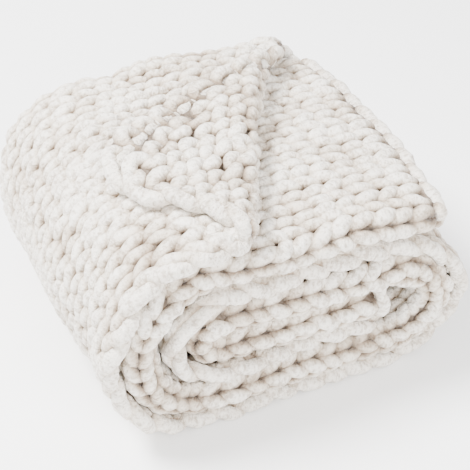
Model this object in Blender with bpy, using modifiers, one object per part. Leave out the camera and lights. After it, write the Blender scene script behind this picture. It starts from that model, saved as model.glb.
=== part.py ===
"""A chunky knit throw, folded in thirds across its width and then rolled flat over its length.

The throw is one knitted sheet. It is drawn flat as a slab of the knit's thickness, ruled where it will
bend, and then every point is moved as the real throw is handled: one corner is turned back, the width is
folded in thirds, the folded strap is rolled flat, and the roll settles on the ground.
Metres, +Z up. The origin is under the middle of the bundle, and -Y is the end that shows the roll.
"""

import math

import bmesh
import bpy
from mathutils import Vector

# The cloth, laid flat: U runs along the knit's columns and V across them.
CLOTH_LENGTH = 1.73
CLOTH_WIDTH = 1.27
KNIT_THICKNESS = 0.0215
LAYER_PITCH = 0.024

# The fold in thirds across the width: an outer, a middle and an inner third.
BUNDLE_DEPTH = 0.440
SELVAGE_SETBACK = 0.004

# The flat roll over the length: four passes and three turns.
ROLL_WIDTH = 0.506
LEFT_TURN_HALF_WIDTH = 0.096
RIGHT_TURN_HALF_WIDTH = 0.085
INNER_TURN_CLEARANCE = 0.012
FREE_END_X = 0.207

# The turned-back corner, by where its tip comes to lie.
CORNER_FOLD_RADIUS = 0.0128
TIP_X = -0.122
TIP_Y = -0.037

# The edges of that corner are soft: the corner itself is blunt, and both edges swell outwards.
CORNER_BLUNTING = 0.015
CORNER_BLUNT_REACH = 0.018
SELVAGE_SWELL = 0.022
SELVAGE_SWELL_AT = 0.072
CAST_OFF_SWELL = 0.025
CAST_OFF_SWELL_AT = 0.105
SWELL_REACH = 0.085

# The outer third is drawn back from the free end, and comes back into line around the back fold.
OUTER_SLIP = 0.068
SLIP_REACH = 0.5
SLIP_FADE_FROM = 0.28
SLIP_FADE = 0.20

# How the soft bundle settles: the free end droops and swells out over a tucked foot, the ends dip,
# the front spreads at its foot, and the sides swell unevenly.
DROOP_SHARE = 0.030
DROOP_START_X = -0.02
END_SWELL = 0.021
RIGHT_FOOT_TUCK = 0.0035
END_DIP_SHARE = 0.027
FRONT_SPREAD = 0.0045
SWELL = 0.004

# Where the swollen bundle's middle lies before it is set over the origin.
MIDDLE_X = 0.0026
MIDDLE_Y = -0.0008

PASS_STEP = 0.052
THIRD_STEP = 0.058
CORNER_FOLD_STEPS = 6
CREASE_MARGIN = 1e-4

HALF_THICKNESS = KNIT_THICKNESS / 2
STRAP_HALF = LAYER_PITCH + HALF_THICKNESS
PASS_PITCH = 3 * LAYER_PITCH
BOTTOM_PASS_Z = HALF_THICKNESS + LAYER_PITCH
INNER_PASS_Z = BOTTOM_PASS_Z + PASS_PITCH
UPPER_PASS_Z = BOTTOM_PASS_Z + 2 * PASS_PITCH
TOP_PASS_Z = BOTTOM_PASS_Z + 3 * PASS_PITCH
BUNDLE_HEIGHT = TOP_PASS_Z + STRAP_HALF

LEFT_TURN_X = -ROLL_WIDTH / 2 + LEFT_TURN_HALF_WIDTH + STRAP_HALF
RIGHT_TURN_X = ROLL_WIDTH / 2 - RIGHT_TURN_HALF_WIDTH - STRAP_HALF
INNER_TURN_RADIUS = PASS_PITCH / 2
INNER_TURN_X = (
    LEFT_TURN_X
    - LEFT_TURN_HALF_WIDTH
    + INNER_TURN_RADIUS
    + 2 * STRAP_HALF
    + INNER_TURN_CLEARANCE
)

BACK_FOLD_Y = BUNDLE_DEPTH / 2 - STRAP_HALF
FRONT_FOLD_Y = -BUNDLE_DEPTH / 2 + LAYER_PITCH / 2 + HALF_THICKNESS
SELVAGE_Y = -BUNDLE_DEPTH / 2 + SELVAGE_SETBACK
OUTER_THIRD_END = BACK_FOLD_Y - SELVAGE_Y
MIDDLE_THIRD_START = OUTER_THIRD_END + math.pi * LAYER_PITCH
MIDDLE_THIRD_END = MIDDLE_THIRD_START + BACK_FOLD_Y - FRONT_FOLD_Y
INNER_THIRD_START = MIDDLE_THIRD_END + math.pi * LAYER_PITCH / 2


def smooth_step(value):
    """0 below 0, 1 above 1, and a smooth rise between."""
    t = min(1.0, max(0.0, value))
    return t * t * (3 - 2 * t)


def straight(start_x, end_x, z):
    """A flat pass of the strap's middle layer, as points (x, z, outward x, outward z)."""
    outward = 1.0 if end_x < start_x else -1.0
    steps = max(1, round(abs(end_x - start_x) / PASS_STEP))
    return [
        (start_x + (end_x - start_x) * i / steps, z, 0.0, outward)
        for i in range(steps + 1)
    ]


def turn(centre_x, side, from_z, to_z, half_width, steps):
    """Half an ellipse on the left (side -1) or right (side 1), as points like those of a flat pass."""
    centre_z = (from_z + to_z) / 2
    half_height = (to_z - from_z) / 2
    points = []
    for i in range(steps + 1):
        angle = math.pi * i / steps
        across = math.sin(angle)
        up = -math.cos(angle)
        x = centre_x + side * half_width * across
        z = centre_z + half_height * up
        outward = Vector((side * across / half_width, up / half_height)).normalized()
        points.append((x, z, outward.x, outward.y))
    return points


def strap_path():
    """The strap's middle layer from the free end on top to the end inside, as a list of its stations."""
    runs = [
        straight(FREE_END_X, LEFT_TURN_X, TOP_PASS_Z),
        turn(LEFT_TURN_X, -1, TOP_PASS_Z, BOTTOM_PASS_Z, LEFT_TURN_HALF_WIDTH, 11),
        straight(LEFT_TURN_X, RIGHT_TURN_X, BOTTOM_PASS_Z),
        turn(RIGHT_TURN_X, 1, BOTTOM_PASS_Z, UPPER_PASS_Z, RIGHT_TURN_HALF_WIDTH, 9),
        straight(RIGHT_TURN_X, INNER_TURN_X, UPPER_PASS_Z),
        turn(INNER_TURN_X, -1, UPPER_PASS_Z, INNER_PASS_Z, INNER_TURN_RADIUS, 7),
    ]
    path = []
    for run in runs:
        path += run if not path else run[1:]
    length = station_lengths(path)[-1]
    end_x = INNER_TURN_X + CLOTH_LENGTH - length
    path += straight(INNER_TURN_X, end_x, INNER_PASS_Z)[1:]
    return path


def station_lengths(path):
    """How far along the strap each station lies."""
    lengths = [0.0]
    for a, b in zip(path, path[1:]):
        lengths.append(lengths[-1] + math.hypot(b[0] - a[0], b[1] - a[1]))
    return lengths


def third_stations():
    """Where the flat cloth is ruled across its width, so that each fold has its own short facets."""
    parts = [
        (0.0, OUTER_THIRD_END, round(OUTER_THIRD_END / THIRD_STEP)),
        (OUTER_THIRD_END, MIDDLE_THIRD_START, 7),
        (MIDDLE_THIRD_START, MIDDLE_THIRD_END, 6),
        (MIDDLE_THIRD_END, INNER_THIRD_START, 6),
        (INNER_THIRD_START, CLOTH_WIDTH, 6),
    ]
    return [
        start + (end - start) * i / steps
        for start, end, steps in parts
        for i in range(steps)
    ]


class CornerFold:
    """The corner at U 0, V 0, bent over a straight crease and laid back on the outer third."""

    def __init__(self):
        tip = Vector((FREE_END_X - TIP_X, TIP_Y - SELVAGE_Y))
        self.along = tip.normalized()
        arc = math.pi * CORNER_FOLD_RADIUS
        self.reach = (tip.length + arc) / 2

    def distance(self, u, v):
        """How far a point lies past the crease, towards the corner."""
        return self.reach - self.along.dot(Vector((u, v)))

    def bend(self, u, v, w):
        u, v = soft_corner(u, v)
        past = self.distance(u, v)
        if past <= 0:
            return u, v, w
        radius = CORNER_FOLD_RADIUS
        angle = min(math.pi, past / radius)
        beyond = past - angle * radius
        new_past = (radius - w) * math.sin(angle) - beyond
        step = self.along * (past - new_past)
        return u + step.x, v + step.y, radius - (radius - w) * math.cos(angle)

    def crease_lines(self):
        """The lines along which the flat cloth bends here, each as a point and a normal."""
        arc = math.pi * CORNER_FOLD_RADIUS
        return [
            (self.along * (self.reach - arc * i / CORNER_FOLD_STEPS), self.along)
            for i in range(CORNER_FOLD_STEPS + 1)
        ]

    def mirrored_line(self, u):
        """The line that comes to lie over a station of the roll once the corner is turned back."""
        across = Vector((1.0, 0.0)) - 2 * self.along.x * self.along
        shift = self.along.x * (2 * self.reach - math.pi * CORNER_FOLD_RADIUS)
        return across * (u - shift), across


def soft_corner(u, v):
    """The flat cloth near its corner, pulled in at the corner and out along the two edges."""
    blunt = CORNER_BLUNTING * math.exp(-(u * u + v * v) / (2 * CORNER_BLUNT_REACH**2))
    selvage = SELVAGE_SWELL * math.exp(
        -(((u - SELVAGE_SWELL_AT) / SWELL_REACH) ** 2) - v / SWELL_REACH
    )
    cast_off = CAST_OFF_SWELL * math.exp(
        -(((v - CAST_OFF_SWELL_AT) / SWELL_REACH) ** 2) - u / SWELL_REACH
    )
    return u + blunt - cast_off, v + blunt - selvage


def drawn_back(u, v):
    """How far the outer third lies back from the free end."""
    fade = 1 - smooth_step((v - SLIP_FADE_FROM) / SLIP_FADE)
    return OUTER_SLIP * math.exp(-((u / SLIP_REACH) ** 2)) * fade


def fold_in_thirds(v, w):
    """The place across the strap and the height over its middle layer, outward being positive."""
    if v <= OUTER_THIRD_END:
        return SELVAGE_Y + v, LAYER_PITCH + w
    if v <= MIDDLE_THIRD_START:
        angle = (v - OUTER_THIRD_END) / LAYER_PITCH
        radius = LAYER_PITCH + w
        return BACK_FOLD_Y + radius * math.sin(angle), radius * math.cos(angle)
    if v <= MIDDLE_THIRD_END:
        return BACK_FOLD_Y - (v - MIDDLE_THIRD_START), -LAYER_PITCH - w
    half_pitch = LAYER_PITCH / 2
    if v <= INNER_THIRD_START:
        angle = (v - MIDDLE_THIRD_END) / half_pitch
        radius = half_pitch + w
        return (
            FRONT_FOLD_Y - radius * math.sin(angle),
            -half_pitch - radius * math.cos(angle),
        )
    return FRONT_FOLD_Y + v - INNER_THIRD_START, w


def roll(u, height, path, lengths):
    """The place of a point in the roll, from how far along the strap and how far out it is."""
    i = 0
    while i < len(path) - 2 and u > lengths[i + 1]:
        i += 1
    share = (u - lengths[i]) / (lengths[i + 1] - lengths[i])
    a, b = path[i], path[i + 1]
    x, z, out_x, out_z = (p + (q - p) * share for p, q in zip(a, b))
    return x + out_x * height, z + out_z * height


def settle(x, y, z):
    """The soft unevenness of the bundle. It leaves the ground plane where it is."""
    level = z / BUNDLE_HEIGHT
    droop = DROOP_SHARE * smooth_step((x - DROOP_START_X) / (ROLL_WIDTH / 2 - DROOP_START_X))
    dip = END_DIP_SHARE * abs(2 * y / BUNDLE_DEPTH) ** 4
    wave = math.sin(math.tau * y / 0.33 + 1.2) + 0.6 * math.sin(math.tau * y / 0.19 + x / 0.07)
    bulge = SWELL * wave * math.sin(math.pi * min(1.0, level))
    end_swell = END_SWELL * math.cos(math.pi * y / BUNDLE_DEPTH) * smooth_step(x / 0.2) * level
    ripple = SWELL * math.sin(math.tau * x / 0.21 + 7 * y) * level
    recess = SWELL * math.sin(math.tau * z / 0.13 + 9 * x) * level
    tuck = RIGHT_FOOT_TUCK * (1 - level) * smooth_step(x / 0.2)
    spread = FRONT_SPREAD * (1 - level) * smooth_step(0.5 - y / BUNDLE_DEPTH)
    return (
        x + bulge * x / (ROLL_WIDTH / 2) + end_swell - tuck - MIDDLE_X,
        y + recess * 2 * y / BUNDLE_DEPTH - spread - MIDDLE_Y,
        z * (1 - droop - dip) + ripple * level,
    )


def flat_sheet(path, corner):
    """The flat cloth as a mesh, ruled at every station and along the corner's fold."""
    mesh = bpy.data.meshes.new("flat_cloth")
    bm = bmesh.new()
    bmesh.ops.create_grid(bm, x_segments=1, y_segments=1, size=0.5)
    for vert in bm.verts:
        vert.co.x = CLOTH_LENGTH if vert.co.x > 0 else 0.0
        vert.co.y = CLOTH_WIDTH if vert.co.y > 0 else 0.0
    for u in station_lengths(path)[1:-1]:
        rule(bm, bm.faces, Vector((u, 0, 0)), Vector((1, 0, 0)))
    for v in third_stations()[1:]:
        rule(bm, bm.faces, Vector((0, v, 0)), Vector((0, 1, 0)))
    arc = math.pi * CORNER_FOLD_RADIUS
    for point, normal in corner.crease_lines():
        near = faces_past(bm, corner, -arc)
        rule(bm, near, point.to_3d(), normal.to_3d())
    for u in station_lengths(path)[1:-1]:
        point, normal = corner.mirrored_line(u)
        rule(bm, faces_past(bm, corner, arc), point.to_3d(), normal.to_3d())
    bm.to_mesh(mesh)
    bm.free()
    return mesh


def faces_past(bm, corner, distance):
    """The faces of the corner that lie at least this far past the crease."""
    faces = []
    for face in bm.faces:
        centre = face.calc_center_median()
        if corner.distance(centre.x, centre.y) > distance - CREASE_MARGIN:
            faces.append(face)
    return faces


def rule(bm, faces, point, normal):
    """Cuts the given faces along a line, so that the cloth can bend there."""
    faces = list(faces)
    edges = {edge for face in faces for edge in face.edges}
    verts = {vert for face in faces for vert in face.verts}
    geometry = [*verts, *edges, *faces]
    bmesh.ops.bisect_plane(
        bm, geom=geometry, dist=1e-6, plane_co=point, plane_no=normal
    )


def thickened(mesh, collection):
    """The flat cloth as a slab, half its thickness to each side of the sheet."""
    sheet = bpy.data.objects.new("flat_cloth", mesh)
    collection.objects.link(sheet)
    solidify = sheet.modifiers.new("knit_thickness", "SOLIDIFY")
    solidify.thickness = KNIT_THICKNESS
    solidify.offset = 0.0
    depsgraph = bpy.context.evaluated_depsgraph_get()
    slab = bpy.data.meshes.new_from_object(sheet.evaluated_get(depsgraph))
    bpy.data.objects.remove(sheet)
    return slab


def knit_material():
    material = bpy.data.materials.new("chenille_yarn")
    material.use_nodes = True
    shader = material.node_tree.nodes["Principled BSDF"]
    shader.inputs["Base Color"].default_value = (0.86, 0.83, 0.79, 1.0)
    shader.inputs["Roughness"].default_value = 0.95
    shader.inputs["Metallic"].default_value = 0.0
    return material


def folded_blanket(collection):
    """The throw as one closed solid in its folded form."""
    path = strap_path()
    lengths = station_lengths(path)
    corner = CornerFold()
    slab = thickened(flat_sheet(path, corner), collection)
    for vert in slab.vertices:
        u, v, w = corner.bend(*vert.co)
        y, height = fold_in_thirds(v, w)
        x, z = roll(u + drawn_back(u, v), height, path, lengths)
        vert.co = settle(x, y, z)
    # The strap runs towards -X from its free end, which mirrors the flat cloth.
    slab.flip_normals()
    blanket = bpy.data.objects.new("blanket", slab)
    slab.name = "blanket"
    slab.materials.append(knit_material())
    collection.objects.link(blanket)
    slab.shade_smooth()
    slab.set_sharp_from_angle(angle=math.radians(40))
    return blanket


def main():
    for old in list(bpy.data.objects):
        bpy.data.objects.remove(old)
    collection = bpy.data.collections.new("chunky_knit_blanket")
    bpy.context.scene.collection.children.link(collection)
    folded_blanket(collection)


main()
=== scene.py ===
"""A chunky knit throw of chenille yarn, folded in thirds and rolled flat, with one corner turned back.

The knitting is worked flat, row by row. Every yarn is then laid where the folded and rolled cloth
takes it. Flat, a point of the cloth is (u, v, w): u along the columns of stitches, v across them, and
w out of the knit side.
"""

import math

import bpy
import numpy as np
from mathutils import Matrix, Vector


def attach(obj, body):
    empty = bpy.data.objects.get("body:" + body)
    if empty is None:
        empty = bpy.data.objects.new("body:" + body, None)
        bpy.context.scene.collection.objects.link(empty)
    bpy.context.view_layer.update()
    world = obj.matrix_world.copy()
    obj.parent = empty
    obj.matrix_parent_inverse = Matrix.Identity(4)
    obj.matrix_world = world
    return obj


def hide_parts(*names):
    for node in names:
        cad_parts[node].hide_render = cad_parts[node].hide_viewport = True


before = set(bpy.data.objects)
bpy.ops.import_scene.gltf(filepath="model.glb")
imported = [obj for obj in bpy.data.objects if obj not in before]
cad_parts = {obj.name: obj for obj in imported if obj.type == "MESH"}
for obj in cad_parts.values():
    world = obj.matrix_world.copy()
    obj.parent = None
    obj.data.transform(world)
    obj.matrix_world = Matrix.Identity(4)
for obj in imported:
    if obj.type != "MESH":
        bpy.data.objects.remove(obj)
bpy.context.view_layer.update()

# The cloth, laid flat.
CLOTH_LENGTH = 1.73
CLOTH_WIDTH = 1.27
KNIT_THICKNESS = 0.0215
LAYER_PITCH = 0.024

# The fold in thirds across the width: an outer, a middle and an inner third.
BUNDLE_DEPTH = 0.440
SELVAGE_SETBACK = 0.004

# The flat roll over the length: four passes and three turns.
ROLL_WIDTH = 0.506
LEFT_TURN_HALF_WIDTH = 0.096
RIGHT_TURN_HALF_WIDTH = 0.085
INNER_TURN_CLEARANCE = 0.012
FREE_END_X = 0.207
FREE_END_LEAD = 0.06
INNER_PASS_LENGTH = 0.4
PASS_POINTS = 12
TURN_POINTS = 73

# The turned-back corner, by where its tip comes to lie, and its soft outline.
CORNER_FOLD_RADIUS = 0.0128
TIP_X = -0.122
TIP_Y = -0.037
CORNER_BLUNTING = 0.015
CORNER_BLUNT_REACH = 0.018
SELVAGE_SWELL = 0.022
SELVAGE_SWELL_AT = 0.072
CAST_OFF_SWELL = 0.025
CAST_OFF_SWELL_AT = 0.105
SWELL_REACH = 0.085

# The outer third is drawn back from the free end.
OUTER_SLIP = 0.068
SLIP_REACH = 0.5
SLIP_FADE_FROM = 0.28
SLIP_FADE = 0.20

# How the soft bundle settles.
DROOP_SHARE = 0.030
DROOP_START_X = -0.02
END_SWELL = 0.021
RIGHT_FOOT_TUCK = 0.0035
END_DIP_SHARE = 0.027
FRONT_SPREAD = 0.0045
SWELL = 0.004
MIDDLE_X = 0.0026
MIDDLE_Y = -0.0008
FLOOR_PRESS = 0.004

# The yarn and the stitch.
WALES = 35
ROWS = 62
SELVAGE_MARGIN = 0.009
END_MARGIN = 0.017
YARN_HALF_WIDTH = 0.0095
YARN_HALF_DEPTH = 0.0083
LOOP_HALF_HEIGHT = 0.0222
LOOP_ROUNDNESS = 0.0070
LOOP_DEPTH = 0.0060
STEPS_PER_STITCH = 22
YARN_SIDES = 8
ROWS_PER_PIECE = 16
WALE = (CLOTH_WIDTH - 2 * SELVAGE_MARGIN) / WALES
COURSE = (CLOTH_LENGTH - 2 * END_MARGIN - 2 * LOOP_HALF_HEIGHT) / (ROWS - 1)
STITCH_LENGTH = 0.112

# How much the stitches differ from one another, as shares of their size and as lifts.
LOOP_HEIGHT_SPREAD = 0.11
LOOP_ROUNDNESS_SPREAD = 0.3
PLUMPNESS_SPREAD = 0.11
LOOP_LIFT_REACH = 0.0016

# How full the yarn is in a stitch's legs, over the front fold and on the turned-back corner.
LEG_FULLNESS = 0.10
TURNED_BACK_LEG_LOSS = 0.12
TURNED_BACK_FULLNESS = 0.05
TURNED_BACK_FADE = 0.04
FRONT_FOLD_THINNING = 0.09

# The chains of yarn that finish the cloth's four edges.
SELVAGE_LINKS = 43
CHAIN_OVERLAP = 1.42
CHAIN_HALF_WIDTH = 0.0106
CHAIN_HALF_DEPTH = 0.0096
CHAIN_SLANT = 0.0082
CHAIN_TUCK = 0.012
CHAIN_STEPS = 22
CHAIN_TUCK_POWER = 2.6
CHAIN_ROUNDING_POWER = 3.2
CHAIN_PLUMPNESS_SPREAD = 0.08
CHAIN_REACH_SPREAD = 0.06
CHAIN_LIFT_REACH = 0.0015
# How high the chains count in the knit for the painted shade, and how much lower their link ends count,
# so that the ends take more painted shade.
CHAIN_SHADE_HEIGHT = 0.0136
CHAIN_END_SHADE_HEIGHT_LOSS = 0.0085
SELVAGE_CHAIN_LINE = 0.0065
END_CHAIN_LINE = 0.0065
CAST_OFF_DROP = 0.005
CAST_OFF_TUCK_SHARE = 0.6
CAST_OFF_SLANT_SHARE = 0.8
BOUND_RISE_SHARE = 1.7

# The cast-off edge of the turned-back corner: its stitches reach out over the chain that binds them.
BOUND_TO = 0.40
BOUND_FADE = 0.06
BOUND_CHAIN_STEP = 0.021
EDGE_REACH = 0.014
EDGE_REACH_DEPTH = 0.09
EDGE_REACH_TO = 0.17
EDGE_REACH_FADE = 0.13
CORNER_CUT = 0.010
CORNER_CUT_AT = 0.03
CORNER_CUT_REACH = 0.025
CHAIN_END_INSET = 0.016

# The stitches gather over the crease of the turned-back corner and over the two folds in the width.
CREASE_GATHER = 0.16
CREASE_GATHER_REACH = 0.065
FRONT_FOLD_GATHER = 0.22
BACK_FOLD_GATHER = 0.15
FOLD_GATHER_REACH = 0.055

# How far handling has drawn the knitting along, across and out of the cloth.
PULL_ALONG = 0.0046
PULL_ACROSS = 0.0050
PULL_OUT = 0.0028

# The knitting is looser at the front end: on the front fold and along the front selvage.
SLACK_ALONG = 0.0058
SLACK_OUT = 0.0032
SLACK_REACH = 0.045

# The pile's fullness varies a little from place to place.
PILE_UNEVENNESS = 0.024
MOST_PILE_UNEVENNESS = 2.2 * PILE_UNEVENNESS

# The sheet of painted shade inside the knitting: dark, so that the gaps between the stitches look
# shaded.
SHADE_SHEET_THICKNESS = 0.003
SHADE_SHEET_INSET = 0.012
SHADE_SHEET_STEPS_ALONG = 150
SHADE_SHEET_STEPS_ACROSS = 110

# The camera: where it looks from and to, and where the photograph's optical centre lies, in its pixels.
CAMERA_HEADING = math.radians(24.97)
CAMERA_DOWN = math.radians(38.91)
CAMERA_TARGET = Vector((-0.0026, -0.0052, 0.1))
CAMERA_DISTANCE = 1.7768
PHOTO_SIDE = 470
FOCAL_LENGTH_PIXELS = 1306
CENTRE_ACROSS_PIXELS = 225.65
CENTRE_DOWN_PIXELS = 244.71
SENSOR_WIDTH = 36

HALF_THICKNESS = KNIT_THICKNESS / 2
STRAP_HALF = LAYER_PITCH + HALF_THICKNESS
PASS_PITCH = 3 * LAYER_PITCH
BOTTOM_PASS_Z = HALF_THICKNESS + LAYER_PITCH
INNER_PASS_Z = BOTTOM_PASS_Z + PASS_PITCH
UPPER_PASS_Z = BOTTOM_PASS_Z + 2 * PASS_PITCH
TOP_PASS_Z = BOTTOM_PASS_Z + 3 * PASS_PITCH
BUNDLE_HEIGHT = TOP_PASS_Z + STRAP_HALF
LEFT_TURN_X = -ROLL_WIDTH / 2 + LEFT_TURN_HALF_WIDTH + STRAP_HALF
RIGHT_TURN_X = ROLL_WIDTH / 2 - RIGHT_TURN_HALF_WIDTH - STRAP_HALF
INNER_TURN_RADIUS = PASS_PITCH / 2
INNER_TURN_X = (
    LEFT_TURN_X - LEFT_TURN_HALF_WIDTH + INNER_TURN_RADIUS + 2 * STRAP_HALF + INNER_TURN_CLEARANCE
)
BACK_FOLD_Y = BUNDLE_DEPTH / 2 - STRAP_HALF
FRONT_FOLD_Y = -BUNDLE_DEPTH / 2 + LAYER_PITCH / 2 + HALF_THICKNESS
SELVAGE_Y = -BUNDLE_DEPTH / 2 + SELVAGE_SETBACK
OUTER_THIRD_END = BACK_FOLD_Y - SELVAGE_Y
MIDDLE_THIRD_START = OUTER_THIRD_END + math.pi * LAYER_PITCH
MIDDLE_THIRD_END = MIDDLE_THIRD_START + BACK_FOLD_Y - FRONT_FOLD_Y
INNER_THIRD_START = MIDDLE_THIRD_END + math.pi * LAYER_PITCH / 2
BACK_FOLD_MIDDLE = (OUTER_THIRD_END + MIDDLE_THIRD_START) / 2
FRONT_FOLD_MIDDLE = (MIDDLE_THIRD_END + INNER_THIRD_START) / 2


def smooth_step(value):
    t = np.clip(value, 0.0, 1.0)
    return t * t * (3 - 2 * t)


def straight(start_x, end_x, z):
    """A flat pass of the strap's middle layer, as rows of x, z, outward x, outward z."""
    outward = 1.0 if end_x < start_x else -1.0
    x = np.linspace(start_x, end_x, PASS_POINTS)
    return np.stack([x, np.full_like(x, z), np.zeros_like(x), np.full_like(x, outward)], axis=1)


def turn(centre_x, side, from_z, to_z, half_width):
    """Half an ellipse on the left (side -1) or right (side 1), as rows like a flat pass's."""
    angle = np.linspace(0, math.pi, TURN_POINTS)
    half_height = (to_z - from_z) / 2
    across = side * np.sin(angle)
    up = -np.cos(angle)
    x = centre_x + half_width * across
    z = (from_z + to_z) / 2 + half_height * up
    out_x = across / half_width
    out_z = up / half_height
    length = np.hypot(out_x, out_z)
    return np.stack([x, z, out_x / length, out_z / length], axis=1)


def strap_path():
    """The strap's middle layer from the free end on top to the end inside, and its length so far."""
    runs = [
        straight(FREE_END_X + FREE_END_LEAD, LEFT_TURN_X, TOP_PASS_Z),
        turn(LEFT_TURN_X, -1, TOP_PASS_Z, BOTTOM_PASS_Z, LEFT_TURN_HALF_WIDTH),
        straight(LEFT_TURN_X, RIGHT_TURN_X, BOTTOM_PASS_Z),
        turn(RIGHT_TURN_X, 1, BOTTOM_PASS_Z, UPPER_PASS_Z, RIGHT_TURN_HALF_WIDTH),
        straight(RIGHT_TURN_X, INNER_TURN_X, UPPER_PASS_Z),
        turn(INNER_TURN_X, -1, UPPER_PASS_Z, INNER_PASS_Z, INNER_TURN_RADIUS),
        straight(INNER_TURN_X, INNER_TURN_X + INNER_PASS_LENGTH, INNER_PASS_Z),
    ]
    path = np.concatenate([runs[0]] + [run[1:] for run in runs[1:]])
    steps = np.hypot(np.diff(path[:, 0]), np.diff(path[:, 1]))
    along = np.concatenate([[0.0], np.cumsum(steps)]) - FREE_END_LEAD
    return path, along


PATH, ALONG = strap_path()

TIP = np.array([FREE_END_X - TIP_X, TIP_Y - SELVAGE_Y])
CREASE_ACROSS = TIP / np.hypot(*TIP)
CREASE_ARC = math.pi * CORNER_FOLD_RADIUS
CREASE_REACH = (np.hypot(*TIP) + CREASE_ARC) / 2
CREASE_MIDDLE = CREASE_REACH - CREASE_ARC / 2


def soft_corner(u, v):
    """The flat cloth near its free corner, pulled in at the corner and out along the two edges."""
    blunt = CORNER_BLUNTING * np.exp(-(u * u + v * v) / (2 * CORNER_BLUNT_REACH**2))
    selvage = SELVAGE_SWELL * np.exp(
        -(((u - SELVAGE_SWELL_AT) / SWELL_REACH) ** 2) - v / SWELL_REACH
    )
    cast_off = CAST_OFF_SWELL * np.exp(
        -(((v - CAST_OFF_SWELL_AT) / SWELL_REACH) ** 2) - u / SWELL_REACH
    )
    return u + blunt - cast_off, v + blunt - selvage


def turn_back_corner(u, v, w):
    """Lays the free corner back on the outer third, over a straight crease."""
    u, v = soft_corner(u, v)
    past = np.maximum(CREASE_REACH - CREASE_ACROSS[0] * u - CREASE_ACROSS[1] * v, 0.0)
    angle = np.minimum(math.pi, past / CORNER_FOLD_RADIUS)
    beyond = past - angle * CORNER_FOLD_RADIUS
    new_past = (CORNER_FOLD_RADIUS - w) * np.sin(angle) - beyond
    step = past - new_past
    lifted = CORNER_FOLD_RADIUS - (CORNER_FOLD_RADIUS - w) * np.cos(angle)
    return u + CREASE_ACROSS[0] * step, v + CREASE_ACROSS[1] * step, lifted


def drawn_back(u, v):
    """How far the outer third lies back from the free end."""
    fade = 1 - smooth_step((v - SLIP_FADE_FROM) / SLIP_FADE)
    return OUTER_SLIP * np.exp(-((u / SLIP_REACH) ** 2)) * fade


def fold_in_thirds(v, w):
    """The place across the strap, and the height over its middle layer."""
    half_pitch = LAYER_PITCH / 2
    back = np.clip((v - OUTER_THIRD_END) / LAYER_PITCH, 0, math.pi)
    front = np.clip((v - MIDDLE_THIRD_END) / half_pitch, 0, math.pi)
    places = [
        (v <= OUTER_THIRD_END, SELVAGE_Y + v, LAYER_PITCH + w),
        (
            v <= MIDDLE_THIRD_START,
            BACK_FOLD_Y + (LAYER_PITCH + w) * np.sin(back),
            (LAYER_PITCH + w) * np.cos(back),
        ),
        (v <= MIDDLE_THIRD_END, BACK_FOLD_Y - (v - MIDDLE_THIRD_START), -LAYER_PITCH - w),
        (
            v <= INNER_THIRD_START,
            FRONT_FOLD_Y - (half_pitch + w) * np.sin(front),
            -half_pitch - (half_pitch + w) * np.cos(front),
        ),
        (v > INNER_THIRD_START, FRONT_FOLD_Y + v - INNER_THIRD_START, w + 0 * v),
    ]
    inside = [place[0] for place in places]
    return (
        np.select(inside, [place[1] for place in places]),
        np.select(inside, [place[2] for place in places]),
    )


def roll(u, height):
    """The place in the roll, from how far along the strap and how far out a point lies."""
    x, z, out_x, out_z = (np.interp(u, ALONG, PATH[:, i]) for i in range(4))
    return x + out_x * height, z + out_z * height


def settle(x, y, z):
    """The soft unevenness of the bundle. It leaves the ground plane where it is."""
    level = z / BUNDLE_HEIGHT
    droop = DROOP_SHARE * smooth_step((x - DROOP_START_X) / (ROLL_WIDTH / 2 - DROOP_START_X))
    dip = END_DIP_SHARE * np.abs(2 * y / BUNDLE_DEPTH) ** 4
    wave = np.sin(math.tau * y / 0.33 + 1.2) + 0.6 * np.sin(math.tau * y / 0.19 + x / 0.07)
    bulge = SWELL * wave * np.sin(math.pi * np.clip(level, 0, 1))
    end_swell = END_SWELL * np.cos(math.pi * y / BUNDLE_DEPTH) * smooth_step(x / 0.2) * level
    ripple = SWELL * np.sin(math.tau * x / 0.21 + 7 * y) * level
    recess = SWELL * np.sin(math.tau * z / 0.13 + 9 * x) * level
    tuck = RIGHT_FOOT_TUCK * (1 - level) * smooth_step(x / 0.2)
    spread = FRONT_SPREAD * (1 - level) * smooth_step(0.5 - y / BUNDLE_DEPTH)
    height = z * (1 - droop - dip) + ripple * level
    return np.stack(
        [
            x + bulge * x / (ROLL_WIDTH / 2) + end_swell - tuck - MIDDLE_X,
            y + recess * 2 * y / BUNDLE_DEPTH - spread - MIDDLE_Y,
            height,
        ],
        axis=-1,
    )


def rest_on_floor(points):
    """Presses whatever would reach below the floor flat on it."""
    z = points[..., 2]
    pressed = FLOOR_PRESS * np.exp(np.minimum(z / FLOOR_PRESS - 1, 0))
    points[..., 2] = np.where(z < FLOOR_PRESS, pressed, z)
    return points


def folded(u, v, w):
    """Where a point of the flat cloth lies in the folded bundle."""
    u, v, w = turn_back_corner(u, v, w)
    y, height = fold_in_thirds(v, w)
    x, z = roll(u + drawn_back(u, v), height)
    return settle(x, y, z)


def unit(vectors):
    return vectors / np.linalg.norm(vectors, axis=-1, keepdims=True)


def out_of_knit_side(u, v, w):
    """The direction out of the knit side, as the folds leave it."""
    reach = 0.003
    return unit(folded(u, v, w + reach) - folded(u, v, w - reach))


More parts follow.
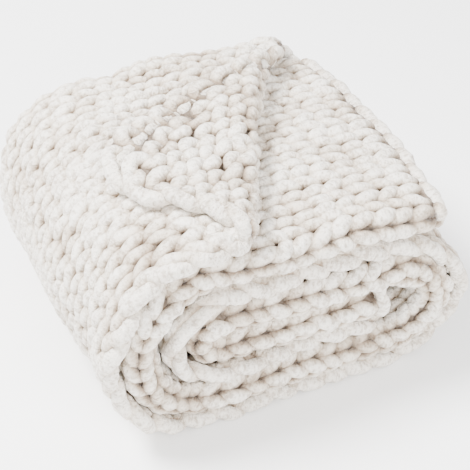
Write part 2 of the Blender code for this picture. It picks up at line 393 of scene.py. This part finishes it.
class Unevenness:
    """Smooth random wander over the cloth, a few stitches across, the same each run."""

    CELLS = 160
    FIRST_CELL = 40

    def __init__(self, seed, cell_u, cell_v):
        self.cells = (cell_u, cell_v)
        self.table = np.random.default_rng(seed).uniform(-1, 1, (self.CELLS, self.CELLS))

    def at(self, u, v):
        a = u / self.cells[0] + self.FIRST_CELL
        b = v / self.cells[1] + self.FIRST_CELL
        row = np.floor(a).astype(int) % (self.CELLS - 1)
        column = np.floor(b).astype(int) % (self.CELLS - 1)
        p = smooth_step(a - np.floor(a))
        q = smooth_step(b - np.floor(b))
        near = self.table[row, column] * (1 - q) + self.table[row, column + 1] * q
        far = self.table[row + 1, column] * (1 - q) + self.table[row + 1, column + 1] * q
        return near * (1 - p) + far * p


PULL_U = Unevenness(11, 0.062, 0.085)
PULL_V = Unevenness(12, 0.070, 0.056)
LIFT = Unevenness(13, 0.045, 0.038)
LOOP_SIZE = Unevenness(14, 1, 0.9)
LOOP_WIDTH = Unevenness(15, 1, 0.8)
LOOP_LIFT = Unevenness(16, 1, 0.6)
PLUMPNESS = Unevenness(17, 1, 0.37)
SLACK_U = Unevenness(18, 0.034, 0.030)
SLACK_W = Unevenness(19, 0.040, 0.026)


def drawn_together(off, share, reach):
    """The step of stitches that lie this far off a fold towards it."""
    return -share * off * np.exp(-((off / reach) ** 2))


def gathered(u, v):
    """The stitches drawn together over the two folds and over the crease of the turned-back corner."""
    front = drawn_together(v - FRONT_FOLD_MIDDLE, FRONT_FOLD_GATHER, FOLD_GATHER_REACH)
    back = drawn_together(v - BACK_FOLD_MIDDLE, BACK_FOLD_GATHER, FOLD_GATHER_REACH)
    off = CREASE_ACROSS[0] * u + CREASE_ACROSS[1] * v - CREASE_MIDDLE
    step = drawn_together(off, CREASE_GATHER, CREASE_GATHER_REACH)
    share = u / np.maximum(u + v, 0.01)
    return (
        u + step * share / CREASE_ACROSS[0],
        v + front + back + step * (1 - share) / CREASE_ACROSS[1],
    )


def reached_out(u, v):
    """The knitting near the free corner, stretched out at the cast-off edge and rounded at the tip."""
    out = EDGE_REACH * np.exp(-u / EDGE_REACH_DEPTH)
    fade = 1 - smooth_step((v - EDGE_REACH_TO) / EDGE_REACH_FADE)
    off = ((u - CORNER_CUT_AT) ** 2 + v * v) / (2 * CORNER_CUT_REACH**2)
    return u - out * fade, v + CORNER_CUT * np.exp(-off)


def slackness(v):
    """One on the front fold and along the front selvage, fading to nothing away from them."""
    fold = np.exp(-(((v - FRONT_FOLD_MIDDLE) / SLACK_REACH) ** 2))
    selvage = np.exp(-((v / SLACK_REACH) ** 2))
    return fold + selvage


def pulled(u, v, w):
    """The knitting drawn a little out of line, as handling leaves it."""
    u, v = gathered(*reached_out(u, v))
    slack = slackness(v)
    return (
        u + PULL_ALONG * PULL_U.at(u, v) + SLACK_ALONG * slack * SLACK_U.at(u, v),
        v + PULL_ACROSS * PULL_V.at(u, v),
        w + PULL_OUT * LIFT.at(u, v) + SLACK_OUT * slack * SLACK_W.at(u, v),
    )


def bound_corner(v):
    """One along the cast-off edge of the turned-back corner, and nothing beyond it."""
    return 1 - smooth_step((v - BOUND_TO) / BOUND_FADE)


def knitted_row_places(row, stitch):
    """The flat place of a row's yarn at a count of stitches from the selvage."""
    angle = math.tau * stitch
    height = LOOP_HALF_HEIGHT * (1 + LOOP_HEIGHT_SPREAD * LOOP_SIZE.at(row, stitch))
    roundness = LOOP_ROUNDNESS * (1 + LOOP_ROUNDNESS_SPREAD * LOOP_WIDTH.at(row, stitch))
    u = END_MARGIN + LOOP_HALF_HEIGHT + row * COURSE + height * np.cos(angle)
    v = SELVAGE_MARGIN + WALE * stitch + roundness * np.sin(2 * angle)
    w = -LOOP_DEPTH * np.cos(2 * angle) + LOOP_LIFT_REACH * LOOP_LIFT.at(row, stitch)
    return pulled(u, v, w)


def pile_fullness(shape):
    """How full the pile is at each point of a skin, the same where the skin closes."""
    fullness = np.random.default_rng(23).normal(1, PILE_UNEVENNESS, shape)
    fullness[..., -1] = fullness[..., 0]
    return np.clip(fullness, 1 - MOST_PILE_UNEVENNESS, 1 + MOST_PILE_UNEVENNESS)


def yarn_surface(places, around, width, depth):
    """The skin of a yarn laid along flat places in the folded cloth, and its height in the knit."""
    centre = folded(*places)
    outward = out_of_knit_side(*places)
    along = unit(np.gradient(centre, axis=-2))
    front = unit(outward - along * (outward * along).sum(axis=-1, keepdims=True))
    side = np.cross(along, front)
    turned = math.tau * around
    fullness = pile_fullness(width.shape + around.shape)
    across = fullness * width[..., None] * np.cos(turned)
    out = fullness * depth[..., None] * np.sin(turned)
    skin = (
        centre[..., None, :]
        + side[..., None, :] * across[..., None]
        + front[..., None, :] * out[..., None]
    )
    return skin, np.abs(places[2][..., None] + depth[..., None] * np.sin(turned))


def deselect_all():
    bpy.ops.object.select_all(action="DESELECT")


def flat_pattern(name, steps, sides, copies):
    """Rows of yarn unrolled flat, one strip for each row, with a UV map along and around the yarn."""
    deselect_all()
    bpy.ops.mesh.primitive_grid_add(x_subdivisions=steps, y_subdivisions=sides, size=1)
    strip = bpy.context.active_object
    strip.name = name
    strip.data.name = name
    rows = strip.modifiers.new("rows", "ARRAY")
    rows.use_relative_offset = False
    rows.use_constant_offset = True
    rows.constant_offset_displace = (0, 2, 0)
    rows.count = copies
    rows.offset_v = 1.0
    bpy.ops.object.modifier_apply(modifier=rows.name)
    return strip


def close_yarns(piece):
    """Joins each strip's long edges into a tube and caps the ends of the yarn."""
    deselect_all()
    bpy.context.view_layer.objects.active = piece
    piece.select_set(True)
    bpy.ops.object.mode_set(mode="EDIT")
    bpy.ops.mesh.select_all(action="SELECT")
    bpy.ops.mesh.remove_doubles(threshold=1e-6)
    bpy.ops.mesh.select_all(action="SELECT")
    bpy.ops.mesh.fill_holes(sides=0)
    bpy.ops.object.mode_set(mode="OBJECT")
    bpy.ops.object.shade_smooth()


def lay_points(piece, points):
    points = np.ascontiguousarray(rest_on_floor(points), np.float32)
    piece.data.vertices.foreach_set("co", points.ravel())
    piece.data.update()


def lay_yarns(piece, places, width, depth, length, least_shade_height=0.0):
    """Lays a pattern's strips as yarns, with their UV in metres along and in turns around."""
    around = np.linspace(0, 1, YARN_SIDES + 1)
    skin, heights = yarn_surface(places, around, width, depth)
    # A least height keeps a yarn out of the deepest painted shade; the height is stored for the finish,
    # which paints shade from it.
    heights = np.maximum(heights, least_shade_height)
    # The pattern's points run along the strip first, and then from strip edge to strip edge.
    lay_points(piece, np.swapaxes(skin, 1, 2).reshape(-1, 3))
    height = piece.data.attributes.new("height_in_knit", "FLOAT", "POINT")
    height.data.foreach_set("value", np.swapaxes(heights, 1, 2).astype(np.float32).ravel())
    layer = piece.data.uv_layers.active.data
    uv = np.empty(2 * len(layer), np.float32)
    layer.foreach_get("uv", uv)
    uv[0::2] *= length
    layer.foreach_set("uv", uv)
    close_yarns(piece)
    return piece


def yarn_fullness(row, stitch):
    """How full the yarn is: more in its legs, less over the front fold, even on the turned corner."""
    u = END_MARGIN + LOOP_HALF_HEIGHT + row * COURSE
    v = SELVAGE_MARGIN + WALE * stitch
    past = CREASE_MIDDLE - CREASE_ACROSS[0] * u - CREASE_ACROSS[1] * v
    turned_back = smooth_step(past / TURNED_BACK_FADE)
    over_fold = np.exp(-(((v - FRONT_FOLD_MIDDLE) / FOLD_GATHER_REACH) ** 2))
    legs = (TURNED_BACK_LEG_LOSS * turned_back - LEG_FULLNESS) * np.cos(2 * math.tau * stitch)
    uneven = PLUMPNESS_SPREAD * PLUMPNESS.at(row, stitch)
    return 1 + uneven + legs + TURNED_BACK_FULLNESS * turned_back - FRONT_FOLD_THINNING * over_fold


def knitted_rows(name, first_row, last_row):
    """A band of the knitting: every stitch of these rows, as one continuous yarn a row."""
    steps = WALES * STEPS_PER_STITCH
    copies = last_row - first_row
    piece = flat_pattern(name, steps, YARN_SIDES, copies)
    row, stitch = np.meshgrid(
        first_row + np.arange(copies), np.linspace(0, WALES, steps + 1), indexing="ij"
    )
    places = knitted_row_places(row, stitch)
    full = yarn_fullness(row, stitch)
    return lay_yarns(
        piece, places, YARN_HALF_WIDTH * full, YARN_HALF_DEPTH * full, WALES * STITCH_LENGTH
    )


def edge_chain(name, cloth_side, links, length):
    """A chain of overlapping links of yarn along an edge of the cloth."""
    pitch = (length - 2 * CHAIN_END_INSET) / links
    piece = flat_pattern(name, CHAIN_STEPS, YARN_SIDES, links)
    link, step = np.meshgrid(
        np.arange(links), np.linspace(0, math.pi, CHAIN_STEPS + 1), indexing="ij"
    )
    share = -np.cos(step)
    size = 1 + CHAIN_PLUMPNESS_SPREAD * PLUMPNESS.at(link, 3 * share)
    length_spread = CHAIN_REACH_SPREAD * LOOP_SIZE.at(link, 0 * share)
    reach = 0.5 * CHAIN_OVERLAP * pitch * (1 + length_spread)
    middle = CHAIN_END_INSET + (link + 0.5) * pitch
    along = middle + reach * share
    inward = CHAIN_TUCK * np.abs(share) ** CHAIN_TUCK_POWER
    slant = CHAIN_SLANT * share + CHAIN_LIFT_REACH * LOOP_LIFT.at(link, share)
    places = pulled(*cloth_side(along, inward, slant))
    rounding = np.sqrt(np.maximum(1 - np.abs(share) ** CHAIN_ROUNDING_POWER, 0)) * size
    # Painted shade on the chains: little on the links, more towards their ends, where they tuck in.
    least_shade_height = CHAIN_SHADE_HEIGHT - CHAIN_END_SHADE_HEIGHT_LOSS * np.abs(share) ** 3
    return lay_yarns(
        piece,
        places,
        CHAIN_HALF_WIDTH * rounding,
        CHAIN_HALF_DEPTH * rounding,
        2 * pitch,
        least_shade_height=least_shade_height[..., None],
    )


def cast_off_side(along, inward, slant):
    """The cast-off edge's chain, which lies inside the stitches on the turned-back corner."""
    bound = bound_corner(along)
    u = END_CHAIN_LINE + CAST_OFF_TUCK_SHARE * inward * (1 - bound) + BOUND_CHAIN_STEP * bound
    drop = CAST_OFF_DROP * (1 - BOUND_RISE_SHARE * bound)
    return u, along, CAST_OFF_SLANT_SHARE * slant * (1 - bound) - drop


def front_selvage_side(along, inward, slant):
    return along, SELVAGE_CHAIN_LINE + inward, slant


def inner_selvage_side(along, inward, slant):
    return along, CLOTH_WIDTH - SELVAGE_CHAIN_LINE - inward, slant


def cast_on_side(along, inward, slant):
    return CLOTH_LENGTH - END_CHAIN_LINE - inward, along, slant


def edge_chains():
    """The two selvages, the cast-off edge at the free end and the cast-on edge inside the roll."""
    return [
        edge_chain("front_selvage", front_selvage_side, SELVAGE_LINKS, CLOTH_LENGTH),
        edge_chain("inner_selvage", inner_selvage_side, SELVAGE_LINKS, CLOTH_LENGTH),
        edge_chain("cast_off_edge", cast_off_side, WALES, CLOTH_WIDTH),
        edge_chain("cast_on_edge", cast_on_side, WALES, CLOTH_WIDTH),
    ]


def shade_sheet_inside_knitting():
    """A sheet of painted shade: thin and folded in the middle of the knitting, dark where the gaps
    between the stitches show it.
    """
    deselect_all()
    bpy.ops.mesh.primitive_grid_add(
        x_subdivisions=SHADE_SHEET_STEPS_ALONG, y_subdivisions=SHADE_SHEET_STEPS_ACROSS, size=1
    )
    ground = bpy.context.active_object
    ground.name = "painted_shade_sheet"
    thick = ground.modifiers.new("thickness", "SOLIDIFY")
    thick.thickness = SHADE_SHEET_THICKNESS
    thick.offset = 0
    bpy.ops.object.modifier_apply(modifier=thick.name)
    flat = np.empty(len(ground.data.vertices) * 3, np.float32)
    ground.data.vertices.foreach_get("co", flat)
    flat = flat.reshape(-1, 3).astype(float)
    u = SHADE_SHEET_INSET + (flat[:, 0] + 0.5) * (CLOTH_LENGTH - 2 * SHADE_SHEET_INSET)
    v = SHADE_SHEET_INSET + (flat[:, 1] + 0.5) * (CLOTH_WIDTH - 2 * SHADE_SHEET_INSET)
    lay_points(ground, folded(*pulled(u, v, flat[:, 2])))
    ground.data.flip_normals()
    bpy.ops.object.shade_smooth()
    return ground


class Socket:
    """A shader value that sums, products and the like can be written on."""

    def __init__(self, nodes, output):
        self.nodes = nodes
        self.output = output

    def maths(self, operation, *values):
        return self.nodes.add("ShaderNodeMath", {"operation": operation}, values)

    def __add__(self, other):
        return self.maths("ADD", self, other)

    __radd__ = __add__

    def __sub__(self, other):
        return self.maths("SUBTRACT", self, other)

    def __rsub__(self, other):
        return self.maths("SUBTRACT", other, self)

    def __mul__(self, other):
        return self.maths("MULTIPLY", self, other)

    __rmul__ = __mul__


class Finish:
    """A material whose nodes are added by type, settings and inputs."""

    def __init__(self, name):
        self.material = bpy.data.materials.new(name)
        self.material.use_nodes = True
        self.tree = self.material.node_tree
        self.shader = self.tree.nodes["Principled BSDF"]

    def add(self, kind, settings=None, values=(), output=0):
        node = self.tree.nodes.new(kind)
        for key, value in (settings or {}).items():
            if key == "stops":
                self.set_stops(node.color_ramp, value)
            else:
                setattr(node, key, value)
        pairs = values.items() if isinstance(values, dict) else enumerate(values)
        for key, value in pairs:
            self.feed(node.inputs[key], value)
        return Socket(self, node.outputs[output])

    def set_stops(self, ramp, stops):
        while len(ramp.elements) < len(stops):
            ramp.elements.new(0.5)
        for element, (place, colour) in zip(ramp.elements, stops):
            element.position = place
            element.color = colour

    def feed(self, socket, value):
        if isinstance(value, Socket):
            self.tree.links.new(value.output, socket)
        else:
            socket.default_value = value


def chenille_finish():
    """Off-white velvety pile with rings across the yarn; painted shade makes it warmer and darker down
    between the stitches and between the pile's rings and tufts.
    """
    finish = Finish("chenille_yarn")
    uv = finish.add("ShaderNodeTexCoord", output="UV")
    place = finish.add("ShaderNodeTexCoord", output="Object")
    along = finish.add("ShaderNodeSeparateXYZ", values=[uv], output="X")
    turns = finish.add("ShaderNodeSeparateXYZ", values=[uv], output="Y")
    yarn = turns.maths("FLOOR", turns)
    swing = turns * math.tau
    ring_place = finish.add(
        "ShaderNodeCombineXYZ",
        values={
            "X": along * 330.0 + yarn * 17.3,
            "Y": turns.maths("COSINE", swing) * 0.9,
            "Z": turns.maths("SINE", swing) * 0.9,
        },
    )
    rings = finish.add(
        "ShaderNodeTexNoise",
        values={"Vector": ring_place, "Scale": 1.0, "Detail": 2.0, "Roughness": 0.6},
    )
    tufts = finish.add(
        "ShaderNodeTexNoise",
        values={"Vector": place, "Scale": 340.0, "Detail": 2.0, "Roughness": 0.7},
    )
    clumps = finish.add(
        "ShaderNodeTexNoise",
        values={"Vector": place, "Scale": 150.0, "Detail": 2.0, "Roughness": 0.6},
    )
    drift = finish.add(
        "ShaderNodeTexNoise",
        values={"Vector": place, "Scale": 26.0, "Detail": 2.0, "Roughness": 0.5},
    )
    # The pile's tone varies at random over the yarn, and its dark end is painted shade between the rings
    # and tufts.
    pile_tone_and_shade = 0.42 * rings + 0.24 * tufts + 0.2 * clumps + 0.14 * drift
    pile_colour_and_shade = finish.add(
        "ShaderNodeValToRGB",
        {
            "stops": [
                (0.42, (0.50, 0.435, 0.365, 1)),
                (0.49, (0.75, 0.695, 0.62, 1)),
                (0.57, (0.88, 0.835, 0.76, 1)),
            ]
        },
        [pile_tone_and_shade],
    )
    # Painted shade: the yarn is coloured warmer and darker the lower it lies in the knit, down between
    # the stitches.
    height = finish.add("ShaderNodeAttribute", {"attribute_name": "height_in_knit"}, output="Fac")
    shade = finish.add(
        "ShaderNodeValToRGB",
        {
            "stops": [
                (0.14, (0.14, 0.105, 0.08, 1)),
                (0.46, (0.44, 0.36, 0.29, 1)),
                (0.76, (0.82, 0.77, 0.71, 1)),
                (1.0, (1.0, 1.0, 1.0, 1)),
            ]
        },
        [height * 72.0],
    )
    colour = finish.add(
        "ShaderNodeMix",
        {"data_type": "RGBA", "blend_type": "MULTIPLY"},
        {"Factor": 1.0, "A": pile_colour_and_shade, "B": shade},
        output="Result",
    )
    pile = 0.55 * rings + 0.35 * tufts + 0.5 * clumps
    bump = finish.add(
        "ShaderNodeBump", values={"Height": pile, "Strength": 0.9, "Distance": 0.006}
    )
    finish.feed(finish.shader.inputs["Base Color"], colour)
    finish.feed(finish.shader.inputs["Normal"], bump)
    finish.shader.inputs["Roughness"].default_value = 0.95
    finish.shader.inputs["Specular IOR Level"].default_value = 0.15
    finish.shader.inputs["Sheen Weight"].default_value = 0.25
    finish.shader.inputs["Sheen Roughness"].default_value = 0.55
    finish.shader.inputs["Sheen Tint"].default_value = (1.0, 0.98, 0.95, 1)
    return finish.material


def painted_shade_finish():
    """The warm shade between the stitches."""
    finish = Finish("painted_shade_between_stitches")
    place = finish.add("ShaderNodeTexCoord", output="Object")
    mottle = finish.add(
        "ShaderNodeTexNoise", values={"Vector": place, "Scale": 260.0, "Detail": 3.0}
    )
    # Painted shade: a dark warm brown, mottled.
    colour = finish.add(
        "ShaderNodeValToRGB",
        {"stops": [(0.3, (0.10, 0.072, 0.052, 1)), (0.7, (0.20, 0.155, 0.12, 1))]},
        [mottle],
    )
    finish.feed(finish.shader.inputs["Base Color"], colour)
    finish.feed(
        finish.shader.inputs["Normal"],
        finish.add("ShaderNodeBump", values={"Height": mottle, "Strength": 0.6, "Distance": 0.003}),
    )
    finish.shader.inputs["Roughness"].default_value = 1.0
    return finish.material


def floor_finish():
    finish = Finish("pale_floor")
    place = finish.add("ShaderNodeTexCoord", output="Object")
    mottle = finish.add("ShaderNodeTexNoise", values={"Vector": place, "Scale": 3.0})
    colour = finish.add(
        "ShaderNodeValToRGB",
        {"stops": [(0.3, (0.955, 0.955, 0.955, 1)), (0.7, (0.97, 0.97, 0.97, 1))]},
        [mottle],
    )
    finish.feed(finish.shader.inputs["Base Color"], colour)
    finish.shader.inputs["Roughness"].default_value = 0.9
    return finish.material


def studio_floor():
    deselect_all()
    bpy.ops.mesh.primitive_plane_add(size=14, location=(0, 0, -0.0005))
    floor = bpy.context.active_object
    floor.name = "studio_floor"
    floor.data.transform(floor.matrix_world)
    floor.matrix_world = Matrix()
    floor.data.materials.append(floor_finish())


def area_light(name, place, size, power, colour=(1, 1, 1)):
    light = bpy.data.lights.new(name, "AREA")
    light.shape = "DISK"
    light.size = size
    light.energy = power
    light.color = colour
    lamp = bpy.data.objects.new(name, light)
    bpy.context.scene.collection.objects.link(lamp)
    lamp.location = place
    lamp.rotation_euler = (Vector((0, 0, 0.1)) - Vector(place)).to_track_quat("-Z", "Y").to_euler()


def studio_light():
    world = bpy.data.worlds.new("studio")
    world.use_nodes = True
    world.node_tree.nodes["Background"].inputs["Color"].default_value = (1.0, 1.0, 1.0, 1)
    world.node_tree.nodes["Background"].inputs["Strength"].default_value = 1.9
    bpy.context.scene.world = world
    area_light("window", (-1.3, 0.6, 2.5), 1.0, 310)
    area_light("front_fill", (0.2, -2.4, 1.4), 1.6, 110)


def photo_camera():
    """The photograph's viewpoint: from the front left, looking down on the bundle."""
    look = Vector(
        (
            math.sin(CAMERA_HEADING) * math.cos(CAMERA_DOWN),
            math.cos(CAMERA_HEADING) * math.cos(CAMERA_DOWN),
            -math.sin(CAMERA_DOWN),
        )
    )
    right = Vector((math.cos(CAMERA_HEADING), -math.sin(CAMERA_HEADING), 0))
    up = right.cross(look)
    camera = bpy.data.cameras.new("photo_camera")
    holder = bpy.data.objects.new("photo_camera", camera)
    bpy.context.scene.collection.objects.link(holder)
    turned = Matrix((right, up, -look)).transposed().to_4x4()
    turned.translation = CAMERA_TARGET - look * CAMERA_DISTANCE
    holder.matrix_world = turned
    camera.sensor_width = SENSOR_WIDTH
    camera.lens = FOCAL_LENGTH_PIXELS / PHOTO_SIDE * SENSOR_WIDTH
    camera.shift_x = (PHOTO_SIDE / 2 - CENTRE_ACROSS_PIXELS) / PHOTO_SIDE
    camera.shift_y = (CENTRE_DOWN_PIXELS - PHOTO_SIDE / 2) / PHOTO_SIDE
    bpy.context.scene.camera = holder


def main():
    photo_camera()
    studio_light()
    studio_floor()
    yarn = chenille_finish()
    knitting = []
    for first in range(0, ROWS, ROWS_PER_PIECE):
        last = min(ROWS, first + ROWS_PER_PIECE)
        band = knitted_rows(f"knitted_rows_{first}_to_{last - 1}", first, last)
        knitting.append(band)
    knitting += edge_chains()
    for piece in knitting:
        piece.data.materials.append(yarn)
    # The sheet of painted shade inside the knitting.
    ground = shade_sheet_inside_knitting()
    ground.data.materials.append(painted_shade_finish())
    for piece in [ground, *knitting]:
        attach(piece, "root")
        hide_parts("blanket")
    deselect_all()


main()
